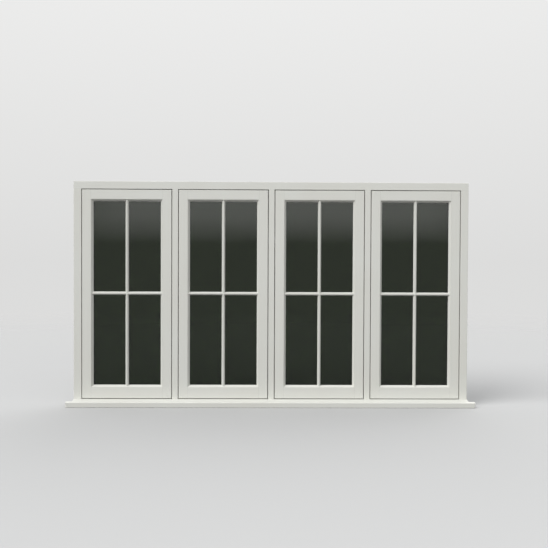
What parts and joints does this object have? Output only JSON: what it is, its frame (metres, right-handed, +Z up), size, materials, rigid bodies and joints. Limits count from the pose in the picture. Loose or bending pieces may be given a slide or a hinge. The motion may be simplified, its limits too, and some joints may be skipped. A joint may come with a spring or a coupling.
{
  "type": "flush casement window",
  "caption": "Flush casement window: painted timber frame and sill, side-hung glazed sashes on concealed stays, with glazing bars, locks and inside handles.",
  "frame": {"origin": "on the sill's underside, below the middle of the window, in the plane of the frame's outer face", "axes": "+X along the window to the right as seen from outside, +Y into the room, +Z up"},
  "size_m": [2.344, 0.165, 1.295],
  "materials": {
    "painted_timber": "satin off-white paint",
    "glass": "clear sealed unit over a dark room",
    "spacer": "matt black",
    "seal": "matt black",
    "stay_steel": "brushed stainless",
    "shoe_brass": "plain brass",
    "lock_steel": "bright zinc plate",
    "keep_zinc": "cast and plated",
    "handle_chrome": "satin chrome"
  },
  "bodies": {
    "frame": {"head": "painted_timber", "left_jamb": "painted_timber", "right_jamb": "painted_timber", "mullions": "painted_timber", "sill": "painted_timber", "weather_seals": "seal", "stay_tracks": "stay_steel", "lock_keeps": "keep_zinc"},
    "stay_arms_1": {"stay_arms_1": "stay_steel"},
    "sash_1": {"stiles_1": "painted_timber", "rails_1": "painted_timber", "glazing_beads_1": "painted_timber", "glazing_bars_1": "painted_timber", "glass_1": "glass", "glazing_spacers_1": "spacer", "vent_arms_1": "stay_steel", "lock_case_1": "lock_steel", "handle_rose_1": "handle_chrome"},
    "stay_shoes_1": {"stay_shoes_1": "shoe_brass"},
    "lock_rods_1": {"lock_rods_1": "lock_steel"},
    "handle_1": {"handle_1": "handle_chrome"},
    "stay_arms_2": {"stay_arms_2": "stay_steel"},
    "sash_2": {"stiles_2": "painted_timber", "rails_2": "painted_timber", "glazing_beads_2": "painted_timber", "glazing_bars_2": "painted_timber", "glass_2": "glass", "glazing_spacers_2": "spacer", "vent_arms_2": "stay_steel", "lock_case_2": "lock_steel", "handle_rose_2": "handle_chrome"},
    "stay_shoes_2": {"stay_shoes_2": "shoe_brass"},
    "lock_rods_2": {"lock_rods_2": "lock_steel"},
    "handle_2": {"handle_2": "handle_chrome"},
    "stay_arms_3": {"stay_arms_3": "stay_steel"},
    "sash_3": {"stiles_3": "painted_timber", "rails_3": "painted_timber", "glazing_beads_3": "painted_timber", "glazing_bars_3": "painted_timber", "glass_3": "glass", "glazing_spacers_3": "spacer", "vent_arms_3": "stay_steel", "lock_case_3": "lock_steel", "handle_rose_3": "handle_chrome"},
    "stay_shoes_3": {"stay_shoes_3": "shoe_brass"},
    "lock_rods_3": {"lock_rods_3": "lock_steel"},
    "handle_3": {"handle_3": "handle_chrome"},
    "stay_arms_4": {"stay_arms_4": "stay_steel"},
    "sash_4": {"stiles_4": "painted_timber", "rails_4": "painted_timber", "glazing_beads_4": "painted_timber", "glazing_bars_4": "painted_timber", "glass_4": "glass", "glazing_spacers_4": "spacer", "vent_arms_4": "stay_steel", "lock_case_4": "lock_steel", "handle_rose_4": "handle_chrome"},
    "stay_shoes_4": {"stay_shoes_4": "shoe_brass"},
    "lock_rods_4": {"lock_rods_4": "lock_steel"},
    "handle_4": {"handle_4": "handle_chrome"}
  },
  "joints": [
    {"name": "stay_arms_1_turn", "type": "hinge", "parent": "frame", "child": "stay_arms_1", "pos_m": [-0.821, 0.033, 0.645], "axis": [0, 0, -1], "range_deg": [-80, 0]},
    {"name": "sash_1_swing", "type": "hinge", "parent": "stay_arms_1", "child": "sash_1", "pos_m": [-0.951, 0.033, 0.645], "axis": [0, 0, -1], "range_deg": [0, 160]},
    {"name": "stay_shoes_1_turn", "type": "hinge", "parent": "sash_1", "child": "stay_shoes_1", "pos_m": [-1.081, 0.033, 0.645], "axis": [0, 0, -1], "range_deg": [-80, 0]},
    {"name": "handle_1_turn", "type": "hinge", "parent": "sash_1", "child": "handle_1", "pos_m": [-0.614, 0.057, 0.645], "axis": [0, -1, 0], "range_deg": [0, 90]},
    {"name": "lock_rods_1_slide", "type": "slide", "parent": "sash_1", "child": "lock_rods_1", "axis": [0, 0, 1], "range_m": [0, 0.02]},
    {"name": "stay_arms_2_turn", "type": "hinge", "parent": "frame", "child": "stay_arms_2", "pos_m": [-0.265, 0.033, 0.645], "axis": [0, 0, -1], "range_deg": [-80, 0]},
    {"name": "sash_2_swing", "type": "hinge", "parent": "stay_arms_2", "child": "sash_2", "pos_m": [-0.395, 0.033, 0.645], "axis": [0, 0, -1], "range_deg": [0, 160]},
    {"name": "stay_shoes_2_turn", "type": "hinge", "parent": "sash_2", "child": "stay_shoes_2", "pos_m": [-0.525, 0.033, 0.645], "axis": [0, 0, -1], "range_deg": [-80, 0]},
    {"name": "handle_2_turn", "type": "hinge", "parent": "sash_2", "child": "handle_2", "pos_m": [-0.058, 0.057, 0.645], "axis": [0, -1, 0], "range_deg": [0, 90]},
    {"name": "lock_rods_2_slide", "type": "slide", "parent": "sash_2", "child": "lock_rods_2", "axis": [0, 0, 1], "range_m": [0, 0.02]},
    {"name": "stay_arms_3_turn", "type": "hinge", "parent": "frame", "child": "stay_arms_3", "pos_m": [0.265, 0.033, 0.645], "axis": [0, 0, 1], "range_deg": [-80, 0]},
    {"name": "sash_3_swing", "type": "hinge", "parent": "stay_arms_3", "child": "sash_3", "pos_m": [0.395, 0.033, 0.645], "axis": [0, 0, 1], "range_deg": [0, 160]},
    {"name": "stay_shoes_3_turn", "type": "hinge", "parent": "sash_3", "child": "stay_shoes_3", "pos_m": [0.525, 0.033, 0.645], "axis": [0, 0, 1], "range_deg": [-80, 0]},
    {"name": "handle_3_turn", "type": "hinge", "parent": "sash_3", "child": "handle_3", "pos_m": [0.058, 0.057, 0.645], "axis": [0, 1, 0], "range_deg": [0, 90]},
    {"name": "lock_rods_3_slide", "type": "slide", "parent": "sash_3", "child": "lock_rods_3", "axis": [0, 0, 1], "range_m": [0, 0.02]},
    {"name": "stay_arms_4_turn", "type": "hinge", "parent": "frame", "child": "stay_arms_4", "pos_m": [0.821, 0.033, 0.645], "axis": [0, 0, 1], "range_deg": [-80, 0]},
    {"name": "sash_4_swing", "type": "hinge", "parent": "stay_arms_4", "child": "sash_4", "pos_m": [0.951, 0.033, 0.645], "axis": [0, 0, 1], "range_deg": [0, 160]},
    {"name": "stay_shoes_4_turn", "type": "hinge", "parent": "sash_4", "child": "stay_shoes_4", "pos_m": [1.081, 0.033, 0.645], "axis": [0, 0, 1], "range_deg": [-80, 0]},
    {"name": "handle_4_turn", "type": "hinge", "parent": "sash_4", "child": "handle_4", "pos_m": [0.614, 0.057, 0.645], "axis": [0, 1, 0], "range_deg": [0, 90]},
    {"name": "lock_rods_4_slide", "type": "slide", "parent": "sash_4", "child": "lock_rods_4", "axis": [0, 0, 1], "range_m": [0, 0.02]}
  ],
  "couplings": [
    {"joint": "stay_arms_1_turn", "follows": "sash_1_swing", "ratio": -0.5},
    {"joint": "stay_shoes_1_turn", "follows": "sash_1_swing", "ratio": -0.5},
    {"joint": "lock_rods_1_slide", "follows": "handle_1_turn", "m_per_rad": 0.01273},
    {"joint": "stay_arms_2_turn", "follows": "sash_2_swing", "ratio": -0.5},
    {"joint": "stay_shoes_2_turn", "follows": "sash_2_swing", "ratio": -0.5},
    {"joint": "lock_rods_2_slide", "follows": "handle_2_turn", "m_per_rad": 0.01273},
    {"joint": "stay_arms_3_turn", "follows": "sash_3_swing", "ratio": -0.5},
    {"joint": "stay_shoes_3_turn", "follows": "sash_3_swing", "ratio": -0.5},
    {"joint": "lock_rods_3_slide", "follows": "handle_3_turn", "m_per_rad": 0.01273},
    {"joint": "stay_arms_4_turn", "follows": "sash_4_swing", "ratio": -0.5},
    {"joint": "stay_shoes_4_turn", "follows": "sash_4_swing", "ratio": -0.5},
    {"joint": "lock_rods_4_slide", "follows": "handle_4_turn", "m_per_rad": 0.01273}
  ]
}
